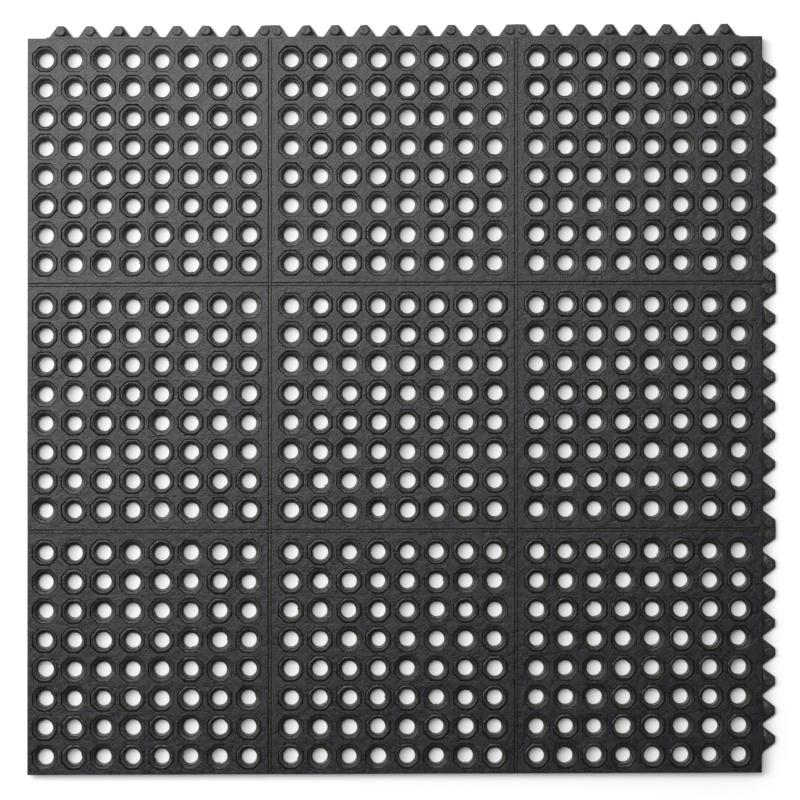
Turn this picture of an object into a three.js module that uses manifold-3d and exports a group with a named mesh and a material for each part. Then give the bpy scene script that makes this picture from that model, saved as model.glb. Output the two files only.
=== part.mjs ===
// Rubber drainage mat: one square moulding with a grid of drain holes, button tabs along
// the back and right edges, and pockets for a neighbour's tabs under the front and left edges.
// Millimetres, +Z up. The origin is the middle of the square, on its underside.

import * as THREE from 'three';
import { mergeVertices } from 'three/addons/utils/BufferGeometryUtils.js';
import Module from 'manifold-3d';

const wasm = await Module();
wasm.setup();

// Slab
const thickness = 16;
const panelsPerSide = 3;
const holesPerPanel = 8;

// Drain holes: eight-sided, wide at the top face and narrow at the underside
const holeSides = 8;
const recessWidth = 31.3;
const drainWidth = 18;
const webWidth = 5;

// Bare land from the outermost holes to the two kinds of edge, and to a seam groove
const plainEdgeLand = 5.95;
const tabEdgeLand = 10.05;
const seamLand = 8.2;

// Seam grooves between the panels of the mould
const grooveWidth = 4.7;
const grooveDepth = 1.2;

// Tabs, with a button on top of each
const tabThickness = 5;
const tabReach = 17.6;
const tabRoot = 4;
const valleyReach = 3.1;
const valleyWidth = 6.7;
const doubleTabInset = 1.5;
const buttonDiameter = 11.4;
const buttonHeight = 3.4;
const buttonToTip = 1.4;
const buttonSides = 6;

// Pockets that take a neighbour's tabs
const fitClearance = 0.5;
const pocketWall = 1.3;

// The one moulding is held as nine solids, parted by a hairline in the floor of each groove
const splitGap = 0.3;

// How far a cutting shape runs past the face that it cuts
const cutterOverrun = 2;

// Derived sizes
const holePitch = recessWidth + webWidth;
const seamHolePitch = recessWidth + 2 * seamLand + grooveWidth;
const panelPitch = (holesPerPanel - 1) * holePitch + seamHolePitch;
const firstHoleInset = plainEdgeLand + recessWidth / 2;
const lastHoleInset = tabEdgeLand + recessWidth / 2;
const holeGridSpan = (panelsPerSide - 1) * panelPitch + (holesPerPanel - 1) * holePitch;
const bodySide = firstHoleInset + holeGridSpan + lastHoleInset;
const halfBody = bodySide / 2;
const firstHole = firstHoleInset - halfBody;
const lastHole = firstHole + holeGridSpan;

const pocketDepth = tabThickness + fitClearance;
const buttonTop = tabThickness + buttonHeight;
const socketDepth = buttonTop + fitClearance;
const drainWidthAtPocketTop = drainWidth + (recessWidth - drainWidth) * pocketDepth / thickness;
const tabTipWidth = holePitch - drainWidthAtPocketTop - 2 * (pocketWall + fitClearance);
const tabBaseWidth = holePitch - valleyWidth;
const buttonCentre = tabReach - buttonToTip - buttonDiameter / 2;

const rubber = new THREE.MeshStandardMaterial({ color: 0x4b4b4d, roughness: 0.85, metalness: 0 });

// Solid from a closed geometry, for joining and cutting
function solidFrom(geometry) {
  geometry.deleteAttribute('normal');
  geometry.deleteAttribute('uv');
  const merged = mergeVertices(geometry);
  const mesh = new wasm.Mesh({
    numProp: 3,
    vertProperties: new Float32Array(merged.attributes.position.array),
    triVerts: new Uint32Array(merged.index.array),
  });
  return new wasm.Manifold(mesh);
}

// Geometry back from a finished solid
function geometryFrom(solid) {
  const mesh = solid.getMesh();
  const geometry = new THREE.BufferGeometry();
  geometry.setAttribute('position', new THREE.BufferAttribute(new Float32Array(mesh.vertProperties), 3));
  geometry.setIndex(new THREE.BufferAttribute(new Uint32Array(mesh.triVerts), 1));
  geometry.computeVertexNormals();
  return geometry;
}

// Box between two corners
function boxBetween(low, high) {
  const size = high.map((value, axis) => value - low[axis]);
  const geometry = new THREE.BoxGeometry(...size);
  geometry.translate(...low.map((value, axis) => value + size[axis] / 2));
  return solidFrom(geometry);
}

// Upright prism or frustum with flats facing along the axes, given its widths across flats
function flatSidedFrustum(sides, topWidth, bottomWidth, bottom, top) {
  const toCorner = 2 * Math.cos(Math.PI / sides);
  const geometry = new THREE.CylinderGeometry(
    topWidth / toCorner, bottomWidth / toCorner, top - bottom, sides, 1);
  geometry.rotateY(Math.PI / sides);
  geometry.rotateX(Math.PI / 2);
  geometry.translate(0, 0, (top + bottom) / 2);
  return geometry;
}

// Places of the hole centres along either side of the square
function holeLines() {
  const lines = [];
  for (let panel = 0; panel < panelsPerSide; panel += 1) {
    for (let hole = 0; hole < holesPerPanel; hole += 1) {
      lines.push(firstHole + panel * panelPitch + hole * holePitch);
    }
  }
  return lines;
}

// Middle of each seam groove along either side of the square
function seamLines() {
  const lines = [];
  for (let seam = 1; seam < panelsPerSide; seam += 1) {
    lines.push(firstHole + seam * panelPitch - seamHolePitch / 2);
  }
  return lines;
}

// Every drain hole as one cutting solid, its slope carried on past both faces
function drainCutters() {
  const slope = (recessWidth - drainWidth) / thickness;
  const topWidth = recessWidth + slope * cutterOverrun;
  const bottomWidth = drainWidth - slope * cutterOverrun;
  const drain = flatSidedFrustum(
    holeSides, topWidth, bottomWidth, -cutterOverrun, thickness + cutterOverrun);
  const lines = holeLines();
  const drains = [];
  for (const x of lines) {
    for (const y of lines) {
      drains.push(drain.clone().translate(x, y, 0));
    }
  }
  return drains.map(solidFrom);
}

// The seam grooves, both ways across the top face
function grooveCutters() {
  const bottom = thickness - grooveDepth;
  const top = thickness + cutterOverrun;
  const reach = halfBody + cutterOverrun;
  const cutters = [];
  for (const line of seamLines()) {
    const from = line - grooveWidth / 2;
    const to = line + grooveWidth / 2;
    cutters.push(boxBetween([from, -reach, bottom], [to, reach, top]));
    cutters.push(boxBetween([-reach, from, bottom], [reach, to, top]));
  }
  return cutters;
}

// Tabs along one edge, each with its place and the half widths of its tip and base.
// One tab stands between every two holes. At a seam two of them share a wide tab.
function tabsAlongEdge() {
  const tabs = [];
  for (let panel = 0; panel < panelsPerSide; panel += 1) {
    const start = firstHole + panel * panelPitch;
    for (let gap = 0; gap < holesPerPanel - 1; gap += 1) {
      const middle = start + (gap + 0.5) * holePitch;
      tabs.push({ middle, halfTip: tabTipWidth / 2, halfBase: tabBaseWidth / 2 });
    }
  }
  const widening = (seamHolePitch - holePitch) / 2 - doubleTabInset;
  for (const middle of seamLines()) {
    const halfTip = tabTipWidth / 2 + widening;
    const halfBase = tabBaseWidth / 2 + widening;
    tabs.push({ middle, halfTip, halfBase });
  }
  return tabs.sort((one, other) => one.middle - other.middle);
}

// Places of the buttons along one edge, half a pitch from the holes on either side.
// Each panel has one before its first hole and one after its last, but not at the corners.
function buttonLines() {
  const lines = [];
  for (let panel = 0; panel < panelsPerSide; panel += 1) {
    const start = firstHole + panel * panelPitch;
    for (let gap = -1; gap < holesPerPanel; gap += 1) {
      lines.push(start + (gap + 0.5) * holePitch);
    }
  }
  return lines.filter((line) => line > firstHole && line < lastHole);
}

// Outline of the whole row of tabs on one edge, grown by a clearance.
// place turns (along the edge, out from the edge) into a point on the mat.
function tabRowShape(clearance, inward, place) {
  const points = [place(firstHole - clearance, -inward)];
  points.push(place(firstHole - clearance, valleyReach + clearance));
  for (const tab of tabsAlongEdge()) {
    const halfBase = tab.halfBase + clearance;
    const halfTip = tab.halfTip + clearance;
    points.push(place(tab.middle - halfBase, valleyReach + clearance));
    points.push(place(tab.middle - halfTip, tabReach + clearance));
    points.push(place(tab.middle + halfTip, tabReach + clearance));
    points.push(place(tab.middle + halfBase, valleyReach + clearance));
  }
  points.push(place(lastHole + clearance, valleyReach + clearance));
  points.push(place(lastHole + clearance, -inward));
  return new THREE.Shape(points);
}

// The edges that carry tabs, as functions from (along, out) to a point
const tabEdges = [
  (along, out) => new THREE.Vector2(along, halfBody + out),
  (along, out) => new THREE.Vector2(halfBody + out, along),
];

// The edges that take them. Out from the neighbour's edge is into this mat.
const pocketEdges = [
  (along, out) => new THREE.Vector2(along, -halfBody + out),
  (along, out) => new THREE.Vector2(-halfBody + out, along),
];

// Tab rows on the back and right edges, joined a little way into the slab
function tabSolids() {
  const solids = [];
  for (const place of tabEdges) {
    const row = new THREE.ExtrudeGeometry(
      tabRowShape(0, tabRoot, place), { depth: tabThickness, bevelEnabled: false });
    solids.push(solidFrom(row));
    for (const line of buttonLines()) {
      const centre = place(line, buttonCentre);
      const button = flatSidedFrustum(
        buttonSides, buttonDiameter, buttonDiameter, tabThickness / 2, buttonTop);
      solids.push(solidFrom(button.translate(centre.x, centre.y, 0)));
    }
  }
  return solids;
}

// Pockets and button sockets under the front and left edges
function pocketCutters() {
  const cutters = [];
  for (const place of pocketEdges) {
    const depth = pocketDepth + cutterOverrun;
    const row = new THREE.ExtrudeGeometry(
      tabRowShape(fitClearance, cutterOverrun, place), { depth, bevelEnabled: false });
    cutters.push(solidFrom(row.translate(0, 0, -cutterOverrun)));
    const socketWidth = buttonDiameter + 2 * fitClearance;
    for (const line of buttonLines()) {
      const centre = place(line, buttonCentre);
      const socket = flatSidedFrustum(
        buttonSides, socketWidth, socketWidth, -cutterOverrun, socketDepth);
      cutters.push(solidFrom(socket.translate(centre.x, centre.y, 0)));
    }
  }
  return cutters;
}

// The whole moulding as one solid
function matSolid() {
  const slab = boxBetween([-halfBody, -halfBody, 0], [halfBody, halfBody, thickness]);
  const withTabs = wasm.Manifold.union([slab, ...tabSolids()]);
  const cutters = [...drainCutters(), ...grooveCutters(), ...pocketCutters()];
  return wasm.Manifold.difference([withTabs, ...cutters]);
}

// Limits of each panel along either side, out past the tabs on the outer panels
function panelLimits() {
  const seams = seamLines();
  const outer = halfBody + tabReach + cutterOverrun;
  const lows = [-outer, ...seams.map((line) => line + splitGap / 2)];
  const highs = [...seams.map((line) => line - splitGap / 2), outer];
  return lows.map((low, index) => [low, highs[index]]);
}

// The panels, named by row from the front and by column from the left
const group = new THREE.Group();
const mat = matSolid();
const limits = panelLimits();
limits.forEach(([front, back], row) => {
  limits.forEach(([left, right], column) => {
    const cell = boxBetween(
      [left, front, -cutterOverrun], [right, back, thickness + cutterOverrun]);
    const panel = new THREE.Mesh(geometryFrom(mat.intersect(cell)), rubber.clone());
    panel.name = `panel_row_${row + 1}_column_${column + 1}`;
    group.add(panel);
  });
});

export default group;
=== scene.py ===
"""Rubber drainage mat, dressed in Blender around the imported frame.

The mat is one moulding. Each CAD panel is replaced by a finely moulded panel of the same size,
with recesses, bores, ledges, drains, seam grooves, tabs and buttons. Lengths below are in
millimetres and become metres where a mesh is made.
"""

import math

import bmesh
import bpy
import numpy as np
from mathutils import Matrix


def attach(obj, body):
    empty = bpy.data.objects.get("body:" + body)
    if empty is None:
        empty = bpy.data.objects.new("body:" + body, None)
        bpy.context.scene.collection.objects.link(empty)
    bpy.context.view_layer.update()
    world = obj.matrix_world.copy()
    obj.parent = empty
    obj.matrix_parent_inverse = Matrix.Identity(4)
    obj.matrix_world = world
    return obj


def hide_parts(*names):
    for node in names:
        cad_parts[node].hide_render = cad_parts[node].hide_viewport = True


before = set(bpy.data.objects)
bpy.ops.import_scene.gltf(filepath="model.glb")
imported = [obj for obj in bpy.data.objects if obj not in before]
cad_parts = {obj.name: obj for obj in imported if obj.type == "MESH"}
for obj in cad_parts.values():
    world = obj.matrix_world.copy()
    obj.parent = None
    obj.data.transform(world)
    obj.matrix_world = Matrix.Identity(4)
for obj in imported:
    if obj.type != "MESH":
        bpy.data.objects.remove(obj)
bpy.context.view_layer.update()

MM = 0.001

# Grid of holes
PANELS = 3
HOLES = 8
THICKNESS = 16.0
RECESS_WIDTH = 31.3
WEB_WIDTH = 5.0
PLAIN_EDGE_LAND = 5.95
TAB_EDGE_LAND = 10.05
SEAM_LAND = 8.2
GROOVE_WIDTH = 4.7
GROOVE_DEPTH = 1.2

HOLE_PITCH = RECESS_WIDTH + WEB_WIDTH
SEAM_HOLE_PITCH = RECESS_WIDTH + 2 * SEAM_LAND + GROOVE_WIDTH
PANEL_PITCH = (HOLES - 1) * HOLE_PITCH + SEAM_HOLE_PITCH
FIRST_INSET = PLAIN_EDGE_LAND + RECESS_WIDTH / 2
LAST_INSET = TAB_EDGE_LAND + RECESS_WIDTH / 2
GRID_SPAN = (PANELS - 1) * PANEL_PITCH + (HOLES - 1) * HOLE_PITCH
HALF_BODY = (FIRST_INSET + GRID_SPAN + LAST_INSET) / 2
FIRST_HOLE = FIRST_INSET - HALF_BODY
LAST_HOLE = FIRST_HOLE + GRID_SPAN
HALF_CELL = HOLE_PITCH / 2
HOLE_LINES = PANELS * HOLES

# Inside of a hole
RECESS_DEPTH = 1.9
RECESS_FLARE = 0.3
BORE_RADIUS = 12.3
BORE_FOOT_RADIUS = 11.8
BORE_OFFSET = (-0.3, 0.1)
DRAIN_RADIUS = 9.45
DRAIN_OFFSET = (-0.5, -0.3)
LEDGE_HEIGHT = 6.0
HOLE_SEGMENTS = 32
OCTAGON_SIDES = 8

# Rings inside a hole, each as (outwards, downwards) from the corner that it rounds
RECESS_RIM = ((0.5, 0.0), (0.32, 0.0), (0.1, 0.07), (0.0, 0.3))
RECESS_CREASE = ((-0.06, -0.05), (-0.3, 0.5), (-0.6, 0.4), (-0.95, 0.0))
BORE_BROW = ((1.2, 0.03),)
BORE_RIM = ((0.35, 0.08), (0.06, 0.35), (-0.05, 0.9))
LEDGE_CORNER = ((0.08, -0.4), (-0.05, -0.05), (-0.3, 0.0))
DRAIN_RIM = ((0.4, 0.05), (0.06, 0.35), (0.0, 0.9))
DRAIN_FOOT = ((0.0, -0.4), (0.4, 0.0))
BROW_OCTAGON_SHARE = 0.3

# Tabs and buttons
TAB_THICKNESS = 5.0
BACK_TAB_REACH = 17.6
RIGHT_TAB_REACH = 19.0
TAB_ROOT = 3.0
VALLEY_REACH = 3.1
BACK_VALLEY_WIDTH = 6.7
RIGHT_VALLEY_WIDTH = 3.4
TAB_TIP_WIDTH = 10.1
DOUBLE_TAB_INSET = 1.5
BUTTON_RADIUS = 5.9
BUTTON_HEIGHT = 3.4
BUTTON_OUT = 10.5
BUTTON_SEGMENTS = 28
BUTTON_ROOT = 1.5
FIT_CLEARANCE = 0.5
CUTTER_OVERRUN = 2.0

# Rings of a button: (outwards, upwards) from its foot, (inwards, downwards) from its top corner,
# and (radius, downwards) of the dimple in its top
BUTTON_FOOT = ((0.15, 0.0), (0.02, 0.12))
BUTTON_RIM = ((0.05, 0.7), (0.18, 0.28), (0.45, 0.06), (0.8, 0.0))
BUTTON_DIMPLE = ((1.2, 0.0), (0.8, 0.1), (0.4, 0.2), (0.0, 0.22))

# Rounding of moulded edges
EDGE_ROUND = 0.7
FOOT_ROUND = 0.45
GROOVE_ROUND = 0.35
TAB_ROUND = 0.6
TIP_ROUND = 1.9
VALLEY_ROUND = 2.0
ARC_STEPS = 4
SHARP_ANGLE = math.radians(50)

# Grid lines of a panel's border: flat land kept beside a rounding, and where the land is parted
SUPPORT_BAND = 0.2
EDGE_LAND_LINE = 0.35
SEAM_LAND_LINE = 0.5
WALL_LEVELS = 4

# Shares of a rounding: inwards from an edge, (inwards, down) at a groove's brink, and
# (inwards, down) at the top edge of a tab
EDGE_SHARES = (1.0, 0.62, 0.3, 0.09, 0.0)
BRINK_SHARES = ((1.0, 0.0), (0.6, 0.08), (0.25, 0.3), (0.0, 0.9))
TAB_SHARES = ((0.0, 1.0), (0.1, 0.55), (0.4, 0.15), (1.1, 0.0))
TAB_FOOT_SHARE = 0.5

# Crease along the foot of a groove's wall: (outwards from the brink, below the groove's floor)
GROOVE_CREASE = ((0.05, 0.0), (0.3, 0.8), (0.75, 0.65), (1.0, 0.0))

# Irregularity of the moulding: sag of the top face and wander of the edges, each with the
# wavelength and the phase of its waves
SEED = 614
TOP_SAG = 0.22
SAG_WAVE = (210.0, 1.7)
EDGE_WANDER = 0.2
WANDER_ACROSS = (460.0, 0.4)
WANDER_DEEP = (390.0, 2.9)

# Crossed waves of the slow variation: share across, share deep, rate and turn
CROSSED_WAVES = (
    (0.92, 0.38, 1.0, 1.0),
    (-0.45, 0.89, 1.31, 2.3),
    (0.71, 0.70, 0.77, 4.1),
    (0.98, -0.17, 1.73, 5.9),
)

# Spread of the holes' places and sizes
RECESS_STRAY = 0.12
RECESS_SPREAD = 0.16
BORE_STRAY = 0.22
BORE_SPREAD = 0.12
DRAIN_STRAY = 0.30
DRAIN_SPREAD = 0.26
DEPTH_SPREAD = 0.12

# Rings of a drain below this height stay level with the underside
LEVEL_BELOW = 1.0

# Waves and burrs around a hole
HOLE_WAVES = 4
WAVE_SIZE = 0.1
BORE_WAVE_SHARE = 0.6
BURR_SIZES = (0.5, 1.3)
BURR_CHANCE = 0.4
BURR_WIDTH = 0.15

# Most wear of a tab's tip, its sides, its root, the rounding of its tip, and a double tab's tip
TIP_WEAR = 0.9
SIDE_WEAR = 1.2
ROOT_WEAR = 0.6
ROUND_WEAR = 2.2
DOUBLE_TIP_WEAR = 0.7

# Spread of the buttons' places
BUTTON_STRAY = 0.15

# The mat lies a little out of square, is a little narrower than it is deep, and its right-hand
# panels have shrunk a little more than the rest, but not in the last bit before the tabs
SKEW = 0.0019
SHRINK_ACROSS = 0.9945
SHRINK_DEEP = 0.9972
RIGHT_SHRINK = 0.0055
SHRINK_MARGIN = 1.0

# Points closer than this are one point, and a point this near to a line is on it
SAME_PLACE = 1e-4
ON_LINE = 1e-6

# Limit on how far a sharp corner moves when an outline is drawn in
SHARPEST_CORNER = 0.3

rng = np.random.default_rng(SEED)


def hole_centre(panel, hole):
    """Place of a hole along either side of the mat."""
    return FIRST_HOLE + panel * PANEL_PITCH + hole * HOLE_PITCH


def seam_line(seam):
    """Middle of a seam groove, seam 1 being the one after the first panel."""
    return FIRST_HOLE + seam * PANEL_PITCH - SEAM_HOLE_PITCH / 2


def slow_noise(x, y, wavelength, phase):
    """Smooth variation from -1 to 1 over the mat, from a few crossed waves."""
    k = 2 * math.pi / wavelength
    total = 0.0
    for across, deep, rate, turn in CROSSED_WAVES:
        total = total + np.sin(k * rate * (across * x + deep * y) + turn * phase)
    return total / len(CROSSED_WAVES)


class HoleShapes:
    """Random offsets, waves and burrs of every hole, drawn once for the whole mat."""

    def __init__(self):
        shape = (HOLE_LINES, HOLE_LINES)
        full_turn = 2 * math.pi
        self.recess_shift = rng.normal(0, RECESS_STRAY, shape + (2,))
        self.recess_grow = rng.normal(0, RECESS_SPREAD, shape)
        self.bore_shift = rng.normal(0, BORE_STRAY, shape + (2,))
        self.bore_grow = rng.normal(0, BORE_SPREAD, shape)
        self.drain_shift = rng.normal(0, DRAIN_STRAY, shape + (2,))
        self.drain_grow = rng.normal(0, DRAIN_SPREAD, shape)
        self.wave_size = np.abs(rng.normal(0, WAVE_SIZE, shape + (HOLE_WAVES,)))
        self.wave_turn = rng.uniform(0, full_turn, shape + (HOLE_WAVES,))
        self.burr_size = rng.uniform(*BURR_SIZES, shape) * (rng.uniform(0, 1, shape) < BURR_CHANCE)
        self.burr_turn = rng.uniform(0, full_turn, shape)
        self.depth = rng.normal(0, DEPTH_SPREAD, shape)


def octagon_radius(apothem, angles):
    """Distance to an octagon whose flats face along the axes and the diagonals."""
    half_side = math.pi / OCTAGON_SIDES
    from_flat = (angles + half_side) % (2 * half_side) - half_side
    return apothem / np.cos(from_flat)


def square_radius(half, angles):
    """Distance to a square around the hole."""
    return half / np.maximum(np.abs(np.cos(angles)), np.abs(np.sin(angles)))


def hole_profile():
    """Rings of a hole from the cell's edge, down through the drain, to the cell's edge below.

    Each is: kind of outline, its half width, its height, and whose shift and waves it takes.
    """
    floor = THICKNESS - RECESS_DEPTH
    recess = RECESS_WIDTH / 2 + RECESS_FLARE
    corners = [
        ("octagon", recess, THICKNESS, RECESS_RIM, "recess"),
        ("octagon", recess, floor, RECESS_CREASE, "recess"),
        ("blend", BORE_RADIUS, floor, BORE_BROW, "bore"),
        ("circle", BORE_RADIUS, floor, BORE_RIM, "bore"),
        ("circle", BORE_FOOT_RADIUS, LEDGE_HEIGHT, LEDGE_CORNER, "bore"),
        ("circle", DRAIN_RADIUS, LEDGE_HEIGHT, DRAIN_RIM, "drain"),
        ("circle", DRAIN_RADIUS, 0.0, DRAIN_FOOT, "drain"),
    ]
    rings = [("square", HALF_CELL, THICKNESS, "none")]
    for kind, width, level, steps, follows in corners:
        for outwards, downwards in steps:
            rings.append((kind, width + outwards, level - downwards, follows))
    rings.append(("square", HALF_CELL, 0.0, "none"))
    return rings


def burr(angles, turn, size):
    """A small flash burr that stands into the drain at one place."""
    apart = (angles - turn + math.pi) % (2 * math.pi) - math.pi
    return size * np.exp(-(apart / BURR_WIDTH) ** 2)


def hole_wave(shapes, place, angles):
    """How far the waves around one hole move its outline outwards."""
    wave = np.zeros(HOLE_SEGMENTS)
    waves = zip(shapes.wave_size[place], shapes.wave_turn[place])
    for number, (size, turn) in enumerate(waves):
        wave += size / (number + 1) ** 0.5 * np.cos((number + 2) * angles + turn)
    return wave


def outline_radius(kind, width, angles):
    """Distance from the middle of a hole to one of its outlines."""
    if kind == "square":
        return square_radius(width, angles)
    if kind == "octagon":
        return octagon_radius(width, angles)
    circle = np.full(HOLE_SEGMENTS, width)
    if kind == "blend":
        return (1 - BROW_OCTAGON_SHARE) * circle + BROW_OCTAGON_SHARE * octagon_radius(width, angles)
    return circle


def hole_rings(shapes, row, column):
    """Points of all the rings of one panel's holes: holes, rings, segments, xyz."""
    angles = np.arange(HOLE_SEGMENTS) * 2 * math.pi / HOLE_SEGMENTS
    profile = hole_profile()
    rings = np.zeros((HOLES * HOLES, len(profile), HOLE_SEGMENTS, 3))
    for index in range(HOLES * HOLES):
        down, along = divmod(index, HOLES)
        place = (row * HOLES + down, column * HOLES + along)
        centre = np.array([hole_centre(column, along), hole_centre(row, down)])
        wave = hole_wave(shapes, place, angles)
        nick = burr(angles, shapes.burr_turn[place], shapes.burr_size[place])
        for step, (kind, width, height, follows) in enumerate(profile):
            middle = centre
            lift = 0.0
            grow = shapes.recess_grow[place] if kind == "octagon" else 0.0
            radius = outline_radius(kind, width + grow, angles)
            if follows == "recess":
                middle = centre + shapes.recess_shift[place]
            elif follows == "bore":
                middle = centre + shapes.bore_shift[place] + BORE_OFFSET
                radius = radius + shapes.bore_grow[place] + BORE_WAVE_SHARE * wave
                lift = shapes.depth[place]
            elif follows == "drain":
                middle = centre + shapes.drain_shift[place] + DRAIN_OFFSET
                radius = radius + shapes.drain_grow[place] + wave - nick
                lift = shapes.depth[place] if height > LEVEL_BELOW else 0.0
            rings[index, step, :, 0] = middle[0] + radius * np.cos(angles)
            rings[index, step, :, 1] = middle[1] + radius * np.sin(angles)
            rings[index, step, :, 2] = height + lift
    return rings


def ring_faces(count, steps, segments, start):
    """Quads between neighbouring rings of many holes."""
    hole, step, turn = np.meshgrid(
        np.arange(count), np.arange(steps - 1), np.arange(segments), indexing="ij")
    following = (turn + 1) % segments
    base = start + hole * steps * segments + step * segments
    quads = np.stack([base + turn, base + following,
                      base + segments + following, base + segments + turn], axis=-1)
    return quads.reshape(-1, 4)


def rounded_drop(distance, radius):
    """How far a rounded edge has dropped, this near to its end."""
    over = np.clip(radius - distance, 0, radius)
    return radius - math.sqrt(radius ** 2 - over ** 2)


def edge_side(width):
    """Border of a panel that ends at an outer edge: offsets, drops below the top, lifts below."""
    marks = [width - share * EDGE_ROUND for share in EDGE_SHARES]
    offsets = [EDGE_LAND_LINE * width, width - EDGE_ROUND - SUPPORT_BAND] + marks
    drops = [rounded_drop(width - offset, EDGE_ROUND) for offset in offsets]
    lifts = [rounded_drop(width - offset, FOOT_ROUND) for offset in offsets]
    return offsets, drops, lifts


def seam_side(width):
    """Border of a panel that ends in the middle of a seam groove."""
    brink = width - GROOVE_WIDTH / 2
    offsets = [SEAM_LAND_LINE * width, brink - GROOVE_ROUND - SUPPORT_BAND]
    drops = [0.0, 0.0]
    for inwards, down in BRINK_SHARES:
        offsets.append(brink - inwards * GROOVE_ROUND)
        drops.append(down * GROOVE_ROUND)
    for outwards, below in GROOVE_CREASE:
        offsets.append(brink + outwards)
        drops.append(GROOVE_DEPTH + below)
    offsets.append(width)
    drops.append(GROOVE_DEPTH)
    lifts = [0.0] * len(offsets)
    return offsets, drops, lifts


def side_of(index, low):
    """Profile of a panel's low or high side, by its place in the row or column."""
    if low and index == 0:
        return edge_side(FIRST_INSET - HALF_CELL)
    if not low and index == PANELS - 1:
        return edge_side(LAST_INSET - HALF_CELL)
    return seam_side(SEAM_HOLE_PITCH / 2 - HALF_CELL)


def panel_lines(index):
    """All grid lines across a panel, with the drop at the top and the lift below at each."""
    eighth = HOLE_SEGMENTS // 8
    steps = np.tan(np.arange(-eighth, eighth + 1) * 2 * math.pi / HOLE_SEGMENTS) * HALF_CELL
    inner = []
    for hole in range(HOLES):
        inner.extend(hole_centre(index, hole) + steps[(1 if hole else 0):])
    low, low_drops, low_lifts = side_of(index, True)
    high, high_drops, high_lifts = side_of(index, False)
    lines = [inner[0] - offset for offset in reversed(low)]
    lines += inner + [inner[-1] + offset for offset in high]
    drops = list(reversed(low_drops)) + [0.0] * len(inner) + high_drops
    lifts = list(reversed(low_lifts)) + [0.0] * len(inner) + high_lifts
    return np.array(lines), np.array(drops), np.array(lifts), len(low), len(inner)


def border_sheets(row, column):
    """Points and quads of the panel's border: top, underside and outer walls."""
    xs, x_drops, x_lifts, x_low, x_inner = panel_lines(column)
    ys, y_drops, y_lifts, y_low, y_inner = panel_lines(row)
    grid_x, grid_y = np.meshgrid(xs, ys, indexing="ij")
    top = THICKNESS - np.maximum(x_drops[:, None], y_drops[None, :])
    below = np.maximum(x_lifts[:, None], y_lifts[None, :])
    levels = [top]
    for level in range(1, WALL_LEVELS):
        share = level / WALL_LEVELS
        levels.append(top * (1 - share) + below * share)
    levels.append(below)
    points = np.stack([np.stack([grid_x, grid_y, z], axis=-1) for z in levels])
    nx, ny = len(xs), len(ys)

    def at(level, i, j):
        return level * nx * ny + i * ny + j

    def sheet(*corners):
        return np.stack([at(*corner) for corner in corners], axis=-1)

    i, j = np.meshgrid(np.arange(nx - 1), np.arange(ny - 1), indexing="ij")
    in_holes_x = (i >= x_low) & (i < x_low + x_inner - 1)
    in_holes_y = (j >= y_low) & (j < y_low + y_inner - 1)
    keep = ~(in_holes_x & in_holes_y)
    i, j = i[keep], j[keep]
    last = WALL_LEVELS
    quads = [sheet((0, i, j), (0, i + 1, j), (0, i + 1, j + 1), (0, i, j + 1)),
             sheet((last, i, j), (last, i, j + 1), (last, i + 1, j + 1), (last, i + 1, j))]
    for level in range(WALL_LEVELS):
        under = level + 1
        i = np.arange(nx - 1)
        low = np.zeros_like(i)
        high = low + ny - 1
        quads.append(sheet((level, i, low), (under, i, low), (under, i + 1, low), (level, i + 1, low)))
        quads.append(
            sheet((level, i, high), (level, i + 1, high), (under, i + 1, high), (under, i, high)))
        j = np.arange(ny - 1)
        low = np.zeros_like(j)
        high = low + nx - 1
        quads.append(sheet((level, low, j), (level, low, j + 1), (under, low, j + 1), (under, low, j)))
        quads.append(
            sheet((level, high, j), (under, high, j), (under, high, j + 1), (level, high, j + 1)))
    return points.reshape(-1, 3), np.concatenate(quads)


def weld(points, faces):
    """Merges points that coincide and drops the unused ones."""
    used = np.unique(faces)
    renumber = np.full(len(points), -1)
    renumber[used] = np.arange(len(used))
    points = points[used]
    faces = renumber[faces]
    keys = np.round(points / SAME_PLACE).astype(np.int64)
    _, first, inverse = np.unique(keys, axis=0, return_index=True, return_inverse=True)
    return points[first], inverse.reshape(-1)[faces]


def settle(points):
    """The slight sag of the top face and wander of the edges of a real moulding."""
    x, y, z = points[:, 0].copy(), points[:, 1].copy(), points[:, 2].copy()
    high = np.clip(z / THICKNESS, 0, 1)
    sag = 0.5 + 0.5 * slow_noise(x, y, *SAG_WAVE)
    last_land = HALF_BODY - LAST_HOLE - RECESS_WIDTH / 2
    to_edge = (HALF_BODY - SHRINK_MARGIN - x) / (last_land - 2 * SHRINK_MARGIN)
    pull = RIGHT_SHRINK * np.clip(x - seam_line(PANELS - 1), 0, None) * np.clip(to_edge, 0, 1)
    wander_across = EDGE_WANDER * slow_noise(x, y, *WANDER_ACROSS)
    wander_deep = EDGE_WANDER * slow_noise(x, y, *WANDER_DEEP)
    points[:, 0] = (x - pull) * SHRINK_ACROSS + SKEW * y + wander_across
    points[:, 1] = y * SHRINK_DEEP + SKEW * x + wander_deep
    points[:, 2] = z - TOP_SAG * sag * high ** 2
    return points


def mesh_object(name, points, faces):
    """Blender object from points in millimetres and faces."""
    mesh = bpy.data.meshes.new(name)
    mesh.from_pydata((points * MM).tolist(), [], [list(face) for face in faces])
    mesh.validate()
    piece = bpy.data.objects.new(name, mesh)
    bpy.context.scene.collection.objects.link(piece)
    return piece


def panel_body(shapes, row, column):
    """The perforated slab of one panel."""
    rings = hole_rings(shapes, row, column)
    count, steps, segments, _ = rings.shape
    border, border_quads = border_sheets(row, column)
    quads = np.concatenate([border_quads, ring_faces(count, steps, segments, len(border))])
    points = np.concatenate([border, rings.reshape(-1, 3)])
    return weld(points, quads)


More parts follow.
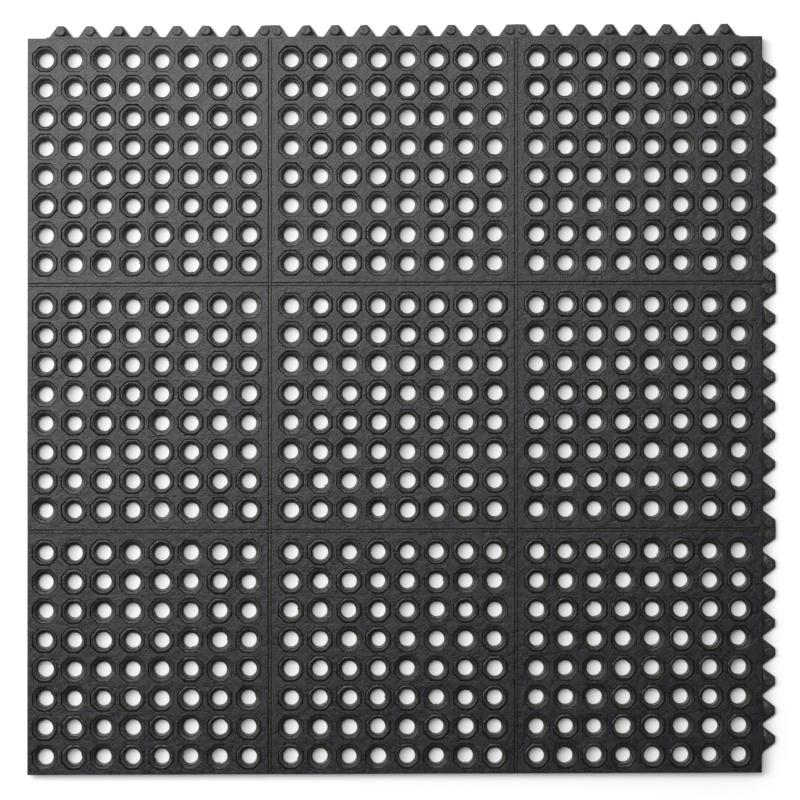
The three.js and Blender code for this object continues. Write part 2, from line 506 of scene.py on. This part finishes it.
def rounded_outline(corners):
    """Closed outline through corners (x, y, radius), each rounded by an arc where it has one."""
    outline = []
    count = len(corners)
    for index in range(count):
        before = np.array(corners[index - 1][:2])
        here = np.array(corners[index][:2])
        after = np.array(corners[(index + 1) % count][:2])
        radius = corners[index][2]
        if radius == 0:
            outline.append(here)
            continue
        into = (here - before) / np.linalg.norm(here - before)
        out = (after - here) / np.linalg.norm(after - here)
        turn = math.atan2(into[0] * out[1] - into[1] * out[0], into @ out)
        reach = abs(radius * math.tan(turn / 2))
        side = math.copysign(1, turn)
        start = here - into * reach
        centre = start + side * radius * np.array([-into[1], into[0]])
        arm = start - centre
        for step in range(ARC_STEPS + 1):
            swung = turn * step / ARC_STEPS
            c = math.cos(swung)
            s = math.sin(swung)
            outline.append(centre + np.array([c * arm[0] - s * arm[1], s * arm[0] + c * arm[1]]))
    return np.array(outline)


def tab_corners(panel, tip, valley_width, clearance, root, ragged):
    """Corners (along, out, radius) of one panel's stretch of a row of tabs."""
    reach = tip + clearance
    valley = VALLEY_REACH + clearance
    half_tip = TAB_TIP_WIDTH / 2 + clearance
    half_base = (HOLE_PITCH - valley_width) / 2 + clearance
    widening = (SEAM_HOLE_PITCH - HOLE_PITCH) / 2 - DOUBLE_TAB_INSET
    start = seam_line(panel) if panel else FIRST_HOLE - clearance
    end = seam_line(panel + 1) if panel < PANELS - 1 else LAST_HOLE + clearance

    def worn(amount):
        return ragged * amount * float(rng.uniform(0, 1))

    corners = [(start, -root, 0)]
    if panel:
        corners.append((start, reach, 0))
        corners.append((start + half_tip + widening, reach - worn(DOUBLE_TIP_WEAR), TIP_ROUND))
        corners.append((start + half_base + widening, valley, VALLEY_ROUND))
    else:
        corners.append((start, valley, 0))
    for gap in range(HOLES - 1):
        middle = hole_centre(panel, gap) + HALF_CELL
        tip_round = TIP_ROUND + worn(ROUND_WEAR)
        corners.append((middle - half_base + worn(ROOT_WEAR), valley, VALLEY_ROUND))
        corners.append((middle - half_tip + worn(SIDE_WEAR), reach - worn(TIP_WEAR), tip_round))
        corners.append((middle + half_tip - worn(SIDE_WEAR), reach - worn(TIP_WEAR), tip_round))
        corners.append((middle + half_base - worn(ROOT_WEAR), valley, VALLEY_ROUND))
    if panel < PANELS - 1:
        corners.append((end - half_base - widening, valley, VALLEY_ROUND))
        corners.append((end - half_tip - widening, reach - worn(DOUBLE_TIP_WEAR), TIP_ROUND))
        corners.append((end, reach, 0))
    else:
        corners.append((end, valley, 0))
    corners.append((end, -root, 0))
    return corners


def inset(outline, amount, start, end, root):
    """Outline drawn in by an amount, but not at its ends or its root."""
    before = np.roll(outline, 1, axis=0)
    after = np.roll(outline, -1, axis=0)
    into = outline - before
    out = after - outline
    into /= np.linalg.norm(into, axis=1)[:, None]
    out /= np.linalg.norm(out, axis=1)[:, None]
    mean = into + out
    mean /= np.linalg.norm(mean, axis=1)[:, None]
    half = np.sqrt(np.clip((1 + np.sum(into * out, axis=1)) / 2, SHARPEST_CORNER, 1))
    inward = np.stack([mean[:, 1], -mean[:, 0]], axis=1)
    moved = outline + inward * (amount / half)[:, None]
    at_start = np.abs(outline[:, 0] - start) < ON_LINE
    at_end = at_start | (np.abs(outline[:, 0] - end) < ON_LINE)
    moved[at_end, 0] = outline[at_end, 0]
    at_root = np.abs(outline[:, 1] + root) < ON_LINE
    moved[at_root] = outline[at_root]
    return moved


def place_on_back(points):
    """(along, out, z) of the back edge as a point on the mat."""
    return points + np.array([0.0, HALF_BODY, 0.0])


def place_on_right(points):
    """(along, out, z) of the right edge as a point on the mat."""
    return points[:, [1, 0, 2]] + np.array([HALF_BODY, 0.0, 0.0])


def place_under_front(points):
    """(along, out, z) from the neighbour's edge as a point under the front edge."""
    return points + np.array([0.0, -HALF_BODY, 0.0])


def place_under_left(points):
    """(along, out, z) from the neighbour's edge as a point under the left edge."""
    return points[:, [1, 0, 2]] + np.array([-HALF_BODY, 0.0, 0.0])


def prism(name, outline, layers, place):
    """Closed solid from an outline and its layers (inset outline, height), bottom first."""
    count = len(outline)
    points = []
    for layer, height in layers:
        points.append(np.column_stack([layer, np.full(count, height)]))
    points = place(np.concatenate(points))
    faces = []
    for level in range(len(layers) - 1):
        for index in range(count):
            following = (index + 1) % count
            low = level * count
            faces.append((low + index, low + following, low + count + following, low + count + index))
    faces.append(tuple(reversed(range(count))))
    faces.append(tuple(range((len(layers) - 1) * count, len(layers) * count)))
    piece = mesh_object(name, settle(points), faces)
    face_outwards(piece)
    return piece


def face_outwards(piece):
    """Turns every face of a closed mesh outwards."""
    bm = bmesh.new()
    bm.from_mesh(piece.data)
    bmesh.ops.triangulate(bm, faces=[f for f in bm.faces if len(f.verts) > 4])
    bmesh.ops.recalc_face_normals(bm, faces=bm.faces)
    bm.to_mesh(piece.data)
    bm.free()


def tab_row(name, panel, tip, valley_width, place):
    """One panel's stretch of tabs, rounded along its top edge."""
    corners = tab_corners(panel, tip, valley_width, 0.0, TAB_ROOT, 1.0)
    outline = rounded_outline(corners)
    start, end = corners[0][0], corners[-1][0]
    foot = TAB_FOOT_SHARE * TAB_ROUND
    layers = [(inset(outline, foot, start, end, TAB_ROOT), 0.0), (outline, foot)]
    for inwards, down in TAB_SHARES:
        drawn_in = inset(outline, inwards * TAB_ROUND, start, end, TAB_ROOT)
        layers.append((drawn_in, TAB_THICKNESS - down * TAB_ROUND))
    return prism(name, outline, layers, place)


def tab_pocket(name, panel, place):
    """Cutter for the pocket that takes one panel's stretch of a neighbour's tabs."""
    corners = tab_corners(
        panel, BACK_TAB_REACH, BACK_VALLEY_WIDTH, FIT_CLEARANCE, CUTTER_OVERRUN, 0.0)
    outline = rounded_outline(corners)
    layers = [(outline, -CUTTER_OVERRUN), (outline, TAB_THICKNESS + FIT_CLEARANCE)]
    return prism(name, outline, layers, place)


def button_lines(panel):
    """Places of the buttons along one panel's edge."""
    lines = [hole_centre(panel, 0) + (gap + 0.5) * HOLE_PITCH for gap in range(-1, HOLES)]
    return [line for line in lines if FIRST_HOLE < line < LAST_HOLE]


def turned_solids(name, profile, centres, place):
    """One closed turned solid at each centre, from a profile (radius, height) that ends on the axis."""
    angles = np.arange(BUTTON_SEGMENTS) * 2 * math.pi / BUTTON_SEGMENTS
    points = []
    faces = []
    rings = profile[1:-1]
    for along, out in centres:
        start = len(points)
        points.append((along, out, profile[0][1]))
        for radius, height in rings:
            for angle in angles:
                points.append((along + radius * math.cos(angle), out + radius * math.sin(angle), height))
        points.append((along, out, profile[-1][1]))
        final = len(points) - 1
        for index in range(BUTTON_SEGMENTS):
            following = (index + 1) % BUTTON_SEGMENTS
            faces.append((start, start + 1 + following, start + 1 + index))
            for step in range(len(rings) - 1):
                low = start + 1 + step * BUTTON_SEGMENTS
                high = low + BUTTON_SEGMENTS
                faces.append((low + index, low + following, high + following, high + index))
            low = start + 1 + (len(rings) - 1) * BUTTON_SEGMENTS
            faces.append((low + index, low + following, final))
    piece = mesh_object(name, settle(place(np.array(points))), faces)
    face_outwards(piece)
    return piece


def buttons(name, panel, place):
    """The buttons on one panel's tabs, each with a small dimple."""
    r = BUTTON_RADIUS
    base = TAB_THICKNESS
    top = TAB_THICKNESS + BUTTON_HEIGHT
    profile = [(0, base - BUTTON_ROOT), (r + BUTTON_FOOT[0][0], base - BUTTON_ROOT)]
    profile += [(r + outwards, base + up) for outwards, up in BUTTON_FOOT]
    profile += [(r - inwards, top - down) for inwards, down in BUTTON_RIM]
    profile += [(radius, top - down) for radius, down in BUTTON_DIMPLE]
    centres = []
    for line in button_lines(panel):
        jitter = rng.normal(0, BUTTON_STRAY, 2)
        centres.append((line + jitter[0], BUTTON_OUT + jitter[1]))
    return turned_solids(name, profile, centres, place)


def sockets(name, panel, place):
    """Cutters for the sockets that take a neighbour's buttons."""
    r = BUTTON_RADIUS + FIT_CLEARANCE
    top = TAB_THICKNESS + BUTTON_HEIGHT + FIT_CLEARANCE
    profile = [(0, -CUTTER_OVERRUN), (r, -CUTTER_OVERRUN), (r, top), (0, top)]
    centres = [(line, BUTTON_OUT) for line in button_lines(panel)]
    return turned_solids(name, profile, centres, place)


def combine(piece, other, operation):
    """Joins another solid to a piece, or cuts it away, and removes the other."""
    modifier = piece.modifiers.new(operation.lower(), "BOOLEAN")
    modifier.operation = operation
    modifier.object = other
    modifier.solver = "MANIFOLD"
    with bpy.context.temp_override(object=piece, active_object=piece):
        bpy.ops.object.modifier_apply(modifier=modifier.name)
    bpy.data.objects.remove(other, do_unlink=True)


def finish_surface(piece, material):
    """Smooth shading with crisp edges, one material."""
    mesh = piece.data
    mesh.materials.clear()
    mesh.materials.append(material)
    mesh.polygons.foreach_set("use_smooth", np.ones(len(mesh.polygons), dtype=bool))
    mesh.set_sharp_from_angle(angle=SHARP_ANGLE)
    mesh.update()


def add_tabs(piece, name, panel, reach, valley_width, place):
    """Joins one panel's tabs and their buttons to it."""
    combine(piece, tab_row(f"{name}_tabs", panel, reach, valley_width, place), "UNION")
    combine(piece, buttons(f"{name}_buttons", panel, place), "UNION")


def cut_pockets(piece, name, panel, place):
    """Cuts the pockets and sockets for a neighbour's tabs and buttons out of one panel."""
    combine(piece, tab_pocket(f"{name}_pocket", panel, place), "DIFFERENCE")
    combine(piece, sockets(f"{name}_sockets", panel, place), "DIFFERENCE")


def build_panel(shapes, row, column, material):
    """One finished panel, replacing its CAD node."""
    name = f"mat_row_{row + 1}_column_{column + 1}"
    points, faces = panel_body(shapes, row, column)
    piece = mesh_object(name, settle(points), faces)
    face_outwards(piece)
    if row == PANELS - 1:
        add_tabs(piece, "back", column, BACK_TAB_REACH, BACK_VALLEY_WIDTH, place_on_back)
    if column == PANELS - 1:
        add_tabs(piece, "right", row, RIGHT_TAB_REACH, RIGHT_VALLEY_WIDTH, place_on_right)
    if row == 0:
        cut_pockets(piece, "front", column, place_under_front)
    if column == 0:
        cut_pockets(piece, "left", row, place_under_left)
    finish_surface(piece, material)
    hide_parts(f"panel_row_{row + 1}_column_{column + 1}")
    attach(piece, "root")


# Noises of the rubber, each with its scale, detail and roughness
PATCHES = (24.0, 4.0, 0.6)
CLOUD = (110.0, 6.0, 0.68)
GRAIN = (560.0, 4.0, 0.7)
SPECKS = (420.0, 2.0, 0.5)

# Colours of the rubber, among them painted shade for the bore walls and painted light for the ledges and
# drain walls
BLUE_TOP = (0.0022, 0.0036, 0.0080, 1)
BROWN_TOP = (0.0110, 0.0090, 0.0078, 1)
DUSTY = (0.0340, 0.0290, 0.0220, 1)
RECESS = (0.0100, 0.0074, 0.0044, 1)
TAB = (0.0200, 0.0180, 0.0160, 1)
# Painted shade: darker brown on the bore walls, where shade falls deep in the holes
BORE_PAINTED_SHADE = (0.0060, 0.0045, 0.0030, 1)
# Painted light: lighter brown on the ledges and the drain walls below them, standing in for the light
# that reaches them
LEDGE_PAINTED_LIGHT = (0.0190, 0.0160, 0.0120, 1)
FLECK = (0.0020, 0.0020, 0.0020, 1)

# Heights in metres over which one colour gives way to the next, going down
TOP_ENDS = (0.0153, 0.0150)
BORE_STARTS = (0.0136, 0.0125)
TABS_START = (0.0087, 0.0085)
LEDGE_STARTS = (0.0065, 0.0063)

# Places in metres across and deep over which the body gives way to the tabs
BODY_ENDS_ACROSS = (0.4550, 0.4562)
BODY_ENDS_DEEP = (0.4562, 0.4572)

# Parts of a noise, from and to, that turn one look into the next
BROWN_PARTS = (0.42, 0.62)
DUST_PARTS = (0.5, 0.62)
DUST_GRAINS = (0.48, 0.6)
FLECK_PARTS = (0.66, 0.74)
MIDDLE_PARTS = (0.35, 0.65)
GRAIN_PARTS = (0.3, 0.7)
MOST_DUST = 0.6
MOST_FLECK = 0.6

# Shine of the rubber, and its roughness with what each noise and depth adds
SHINE = 0.42
SHINE_TINT = (0.97, 0.985, 1.0, 1)
ROUGHNESS = (0.265, 0.305)
CLOUD_ROUGHNESS = (-0.035, 0.045)
GRAIN_ROUGHNESS = (-0.04, 0.05)
BORE_ROUGHNESS = (0.0, 0.15)
LEDGE_ROUGHNESS = (0.0, -0.2)

# Unevenness of the rubber: strength and height in metres
FINE_BUMP = (0.6, 0.0005)
BROAD_BUMP = (0.6, 0.0012)


class Nodes:
    """Short helper for building the nodes of a material or of the surround."""

    def __init__(self, owner):
        owner.use_nodes = True
        self.tree = owner.node_tree
        self.tree.nodes.clear()

    def add(self, kind, values=None, **settings):
        """A new node with its settings, and values for some of its sockets."""
        node = self.tree.nodes.new(kind)
        for name, setting in settings.items():
            setattr(node, name, setting)
        for socket, value in (values or {}).items():
            node.inputs[socket].default_value = value
        return node

    def link(self, source, target):
        """Joins one node's output to another's input."""
        self.tree.links.new(source, target)

    def noise(self, place, look):
        """Noise over the mat, from 0 to 1."""
        scale, detail, roughness = look
        values = {"Scale": scale, "Detail": detail, "Roughness": roughness}
        node = self.add("ShaderNodeTexNoise", values)
        self.link(place, node.inputs["Vector"])
        return node.outputs["Fac"]

    def ramp(self, source, span, results=(0.0, 1.0), shape="LINEAR"):
        """Turns a span of a value into a span of results."""
        values = {"From Min": span[0], "From Max": span[1], "To Min": results[0], "To Max": results[1]}
        node = self.add("ShaderNodeMapRange", values, interpolation_type=shape)
        self.link(source, node.inputs["Value"])
        return node.outputs["Result"]

    def mix(self, factor, first, second):
        """Blend of two colours, each a fixed one or another node's."""
        node = self.add("ShaderNodeMix", data_type="RGBA")
        self.link(factor, node.inputs["Factor"])
        for name, value in (("A", first), ("B", second)):
            socket = [s for s in node.inputs if s.name == name and s.type == "RGBA"][0]
            if isinstance(value, tuple):
                socket.default_value = value
            else:
                self.link(value, socket)
        return [s for s in node.outputs if s.type == "RGBA"][0]

    def join(self, operation, first, second):
        """Sum or product of two values."""
        node = self.add("ShaderNodeMath", operation=operation)
        self.link(first, node.inputs[0])
        self.link(second, node.inputs[1])
        return node.outputs["Value"]

    def bump(self, height, look, normal=None):
        """Unevenness from a noise, on top of any other."""
        strength, distance = look
        node = self.add("ShaderNodeBump", {"Strength": strength, "Distance": distance})
        self.link(height, node.inputs["Height"])
        if normal:
            self.link(normal, node.inputs["Normal"])
        return node.outputs["Normal"]


def rubber_material():
    """Matte black rubber: bluish worn top face, browner recesses, mottling, grain and scuffs, with
    painted shade on the bore walls and painted light on the ledges and drain walls.
    """
    material = bpy.data.materials.new("rubber")
    nodes = Nodes(material)
    output = nodes.add("ShaderNodeOutputMaterial")
    shader = nodes.add(
        "ShaderNodeBsdfPrincipled", {"Specular IOR Level": SHINE, "Specular Tint": SHINE_TINT})
    nodes.link(shader.outputs["BSDF"], output.inputs["Surface"])
    place = nodes.add("ShaderNodeTexCoord").outputs["Object"]
    split = nodes.add("ShaderNodeSeparateXYZ")
    nodes.link(place, split.inputs["Vector"])
    height = split.outputs["Z"]

    patches = nodes.noise(place, PATCHES)
    cloud = nodes.noise(place, CLOUD)
    grain = nodes.noise(place, GRAIN)
    specks = nodes.noise(place, SPECKS)
    in_body = nodes.join("MULTIPLY", nodes.ramp(split.outputs["X"], BODY_ENDS_ACROSS, (1.0, 0.0)),
                         nodes.ramp(split.outputs["Y"], BODY_ENDS_DEEP, (1.0, 0.0)))
    # Mask of the bore walls, where the colour is painted shade
    in_bore = nodes.join("MULTIPLY", in_body, nodes.ramp(height, BORE_STARTS))
    # Mask of the ledges and drain walls, where the colour is painted light
    on_ledge = nodes.join("MULTIPLY", in_body, nodes.ramp(height, LEDGE_STARTS))

    colour = nodes.mix(nodes.ramp(cloud, BROWN_PARTS), BLUE_TOP, BROWN_TOP)
    dust = nodes.join("MULTIPLY", nodes.ramp(patches, DUST_PARTS, (0.0, MOST_DUST)),
                      nodes.ramp(grain, DUST_GRAINS))
    colour = nodes.mix(dust, colour, DUSTY)
    colour = nodes.mix(nodes.ramp(height, TOP_ENDS), colour, RECESS)
    colour = nodes.mix(nodes.ramp(height, TABS_START), colour, TAB)
    # Painted shade on the bore walls
    colour = nodes.mix(in_bore, colour, BORE_PAINTED_SHADE)
    # Painted light on the ledges and drain walls
    colour = nodes.mix(on_ledge, colour, LEDGE_PAINTED_LIGHT)
    colour = nodes.mix(nodes.ramp(specks, FLECK_PARTS, (0.0, MOST_FLECK)), colour, FLECK)
    nodes.link(colour, shader.inputs["Base Color"])

    roughness = nodes.ramp(patches, MIDDLE_PARTS, ROUGHNESS)
    for part in (nodes.ramp(cloud, MIDDLE_PARTS, CLOUD_ROUGHNESS),
                 nodes.ramp(grain, GRAIN_PARTS, GRAIN_ROUGHNESS),
                 nodes.ramp(in_bore, (0.0, 1.0), BORE_ROUGHNESS),
                 nodes.ramp(on_ledge, (0.0, 1.0), LEDGE_ROUGHNESS)):
        roughness = nodes.join("ADD", roughness, part)
    nodes.link(roughness, shader.inputs["Roughness"])

    fine = nodes.bump(grain, FINE_BUMP)
    nodes.link(nodes.bump(cloud, BROAD_BUMP, fine), shader.inputs["Normal"])
    return material


# Floor, in metres
FLOOR_HALF = 6.0
FLOOR_HEIGHT = -0.00005
FLOOR_WHITE = (0.9, 0.9, 0.9, 1)


def floor_material():
    """Plain white floor."""
    material = bpy.data.materials.new("floor_white")
    nodes = Nodes(material)
    output = nodes.add("ShaderNodeOutputMaterial")
    shader = nodes.add("ShaderNodeBsdfDiffuse", {"Color": FLOOR_WHITE})
    nodes.link(shader.outputs["BSDF"], output.inputs["Surface"])
    return material


def make_floor():
    """Large flat floor that the mat lies on."""
    sides = ((-1, -1), (1, -1), (1, 1), (-1, 1))
    corners = [(x * FLOOR_HALF, y * FLOOR_HALF, FLOOR_HEIGHT) for x, y in sides]
    mesh = bpy.data.meshes.new("floor")
    mesh.from_pydata(corners, [], [range(len(corners))])
    mesh.materials.append(floor_material())
    floor = bpy.data.objects.new("floor", mesh)
    bpy.context.scene.collection.objects.link(floor)


# Camera straight above, a hair off the middle of the mat, as in the photograph
CAMERA_HEIGHT = 2.6835
CAMERA_OFFSET = (0.0065, 0.0069)
CAMERA_ROLL = -0.0015
LENS = 97.0
SENSOR_WIDTH = 36.0
FARTHEST = 50.0


def make_camera():
    """Camera looking straight down on the mat."""
    data = bpy.data.cameras.new("camera")
    data.lens = LENS
    data.sensor_width = SENSOR_WIDTH
    data.clip_end = FARTHEST
    camera = bpy.data.objects.new("camera", data)
    camera.location = (*CAMERA_OFFSET, CAMERA_HEIGHT)
    camera.rotation_euler = (0.0, 0.0, CAMERA_ROLL)
    bpy.context.scene.collection.objects.link(camera)
    bpy.context.scene.camera = camera


# Key light, in metres and watts, facing straight down
KEY_PLACE = (-3.42, 1.95, 6.0)
KEY_SIZE = (7.6, 3.6)
KEY_POWER = 640.0

# Strength of the surround near the horizon and overhead, the heights in its sphere over which it
# changes, and how much stronger it is to the left and behind
SURROUND = 0.58
OVERHEAD = 0.02
DARKENING = (0.68, 0.93)
LEFT_AND_BEHIND = (-0.707, 0.707, 0.0)
LOPSIDED = 0.65
SURROUND_WHITE = (1.0, 1.0, 1.0, 1)


def make_key_light():
    """Soft light high up to the left and behind."""
    data = bpy.data.lights.new("key_light", "AREA")
    data.shape = "RECTANGLE"
    data.size, data.size_y = KEY_SIZE
    data.energy = KEY_POWER
    light = bpy.data.objects.new("key_light", data)
    light.location = KEY_PLACE
    bpy.context.scene.collection.objects.link(light)


def make_surround():
    """Pale surround that is darker overhead and lighter to the left and behind."""
    world = bpy.data.worlds.new("surround")
    nodes = Nodes(world)
    output = nodes.add("ShaderNodeOutputWorld")
    background = nodes.add("ShaderNodeBackground", {"Color": SURROUND_WHITE})
    nodes.link(background.outputs["Background"], output.inputs["Surface"])
    direction = nodes.add("ShaderNodeTexCoord").outputs["Generated"]
    split = nodes.add("ShaderNodeSeparateXYZ")
    nodes.link(direction, split.inputs["Vector"])
    upwards = nodes.ramp(split.outputs["Z"], DARKENING, (SURROUND, OVERHEAD), "SMOOTHSTEP")
    towards = [LOPSIDED * share for share in LEFT_AND_BEHIND]
    side = nodes.add("ShaderNodeVectorMath", {1: towards}, operation="DOT_PRODUCT")
    nodes.link(direction, side.inputs[0])
    lean = nodes.add("ShaderNodeMath", {1: 1.0}, operation="ADD")
    nodes.link(side.outputs["Value"], lean.inputs[0])
    strength = nodes.join("MULTIPLY", upwards, lean.outputs["Value"])
    nodes.link(strength, background.inputs["Strength"])
    bpy.context.scene.world = world


make_camera()
bpy.context.scene.view_settings.view_transform = "Standard"
rubber = rubber_material()
hole_shapes = HoleShapes()
for panel_row in range(PANELS):
    for panel_column in range(PANELS):
        build_panel(hole_shapes, panel_row, panel_column, rubber)
make_floor()
make_key_light()
make_surround()
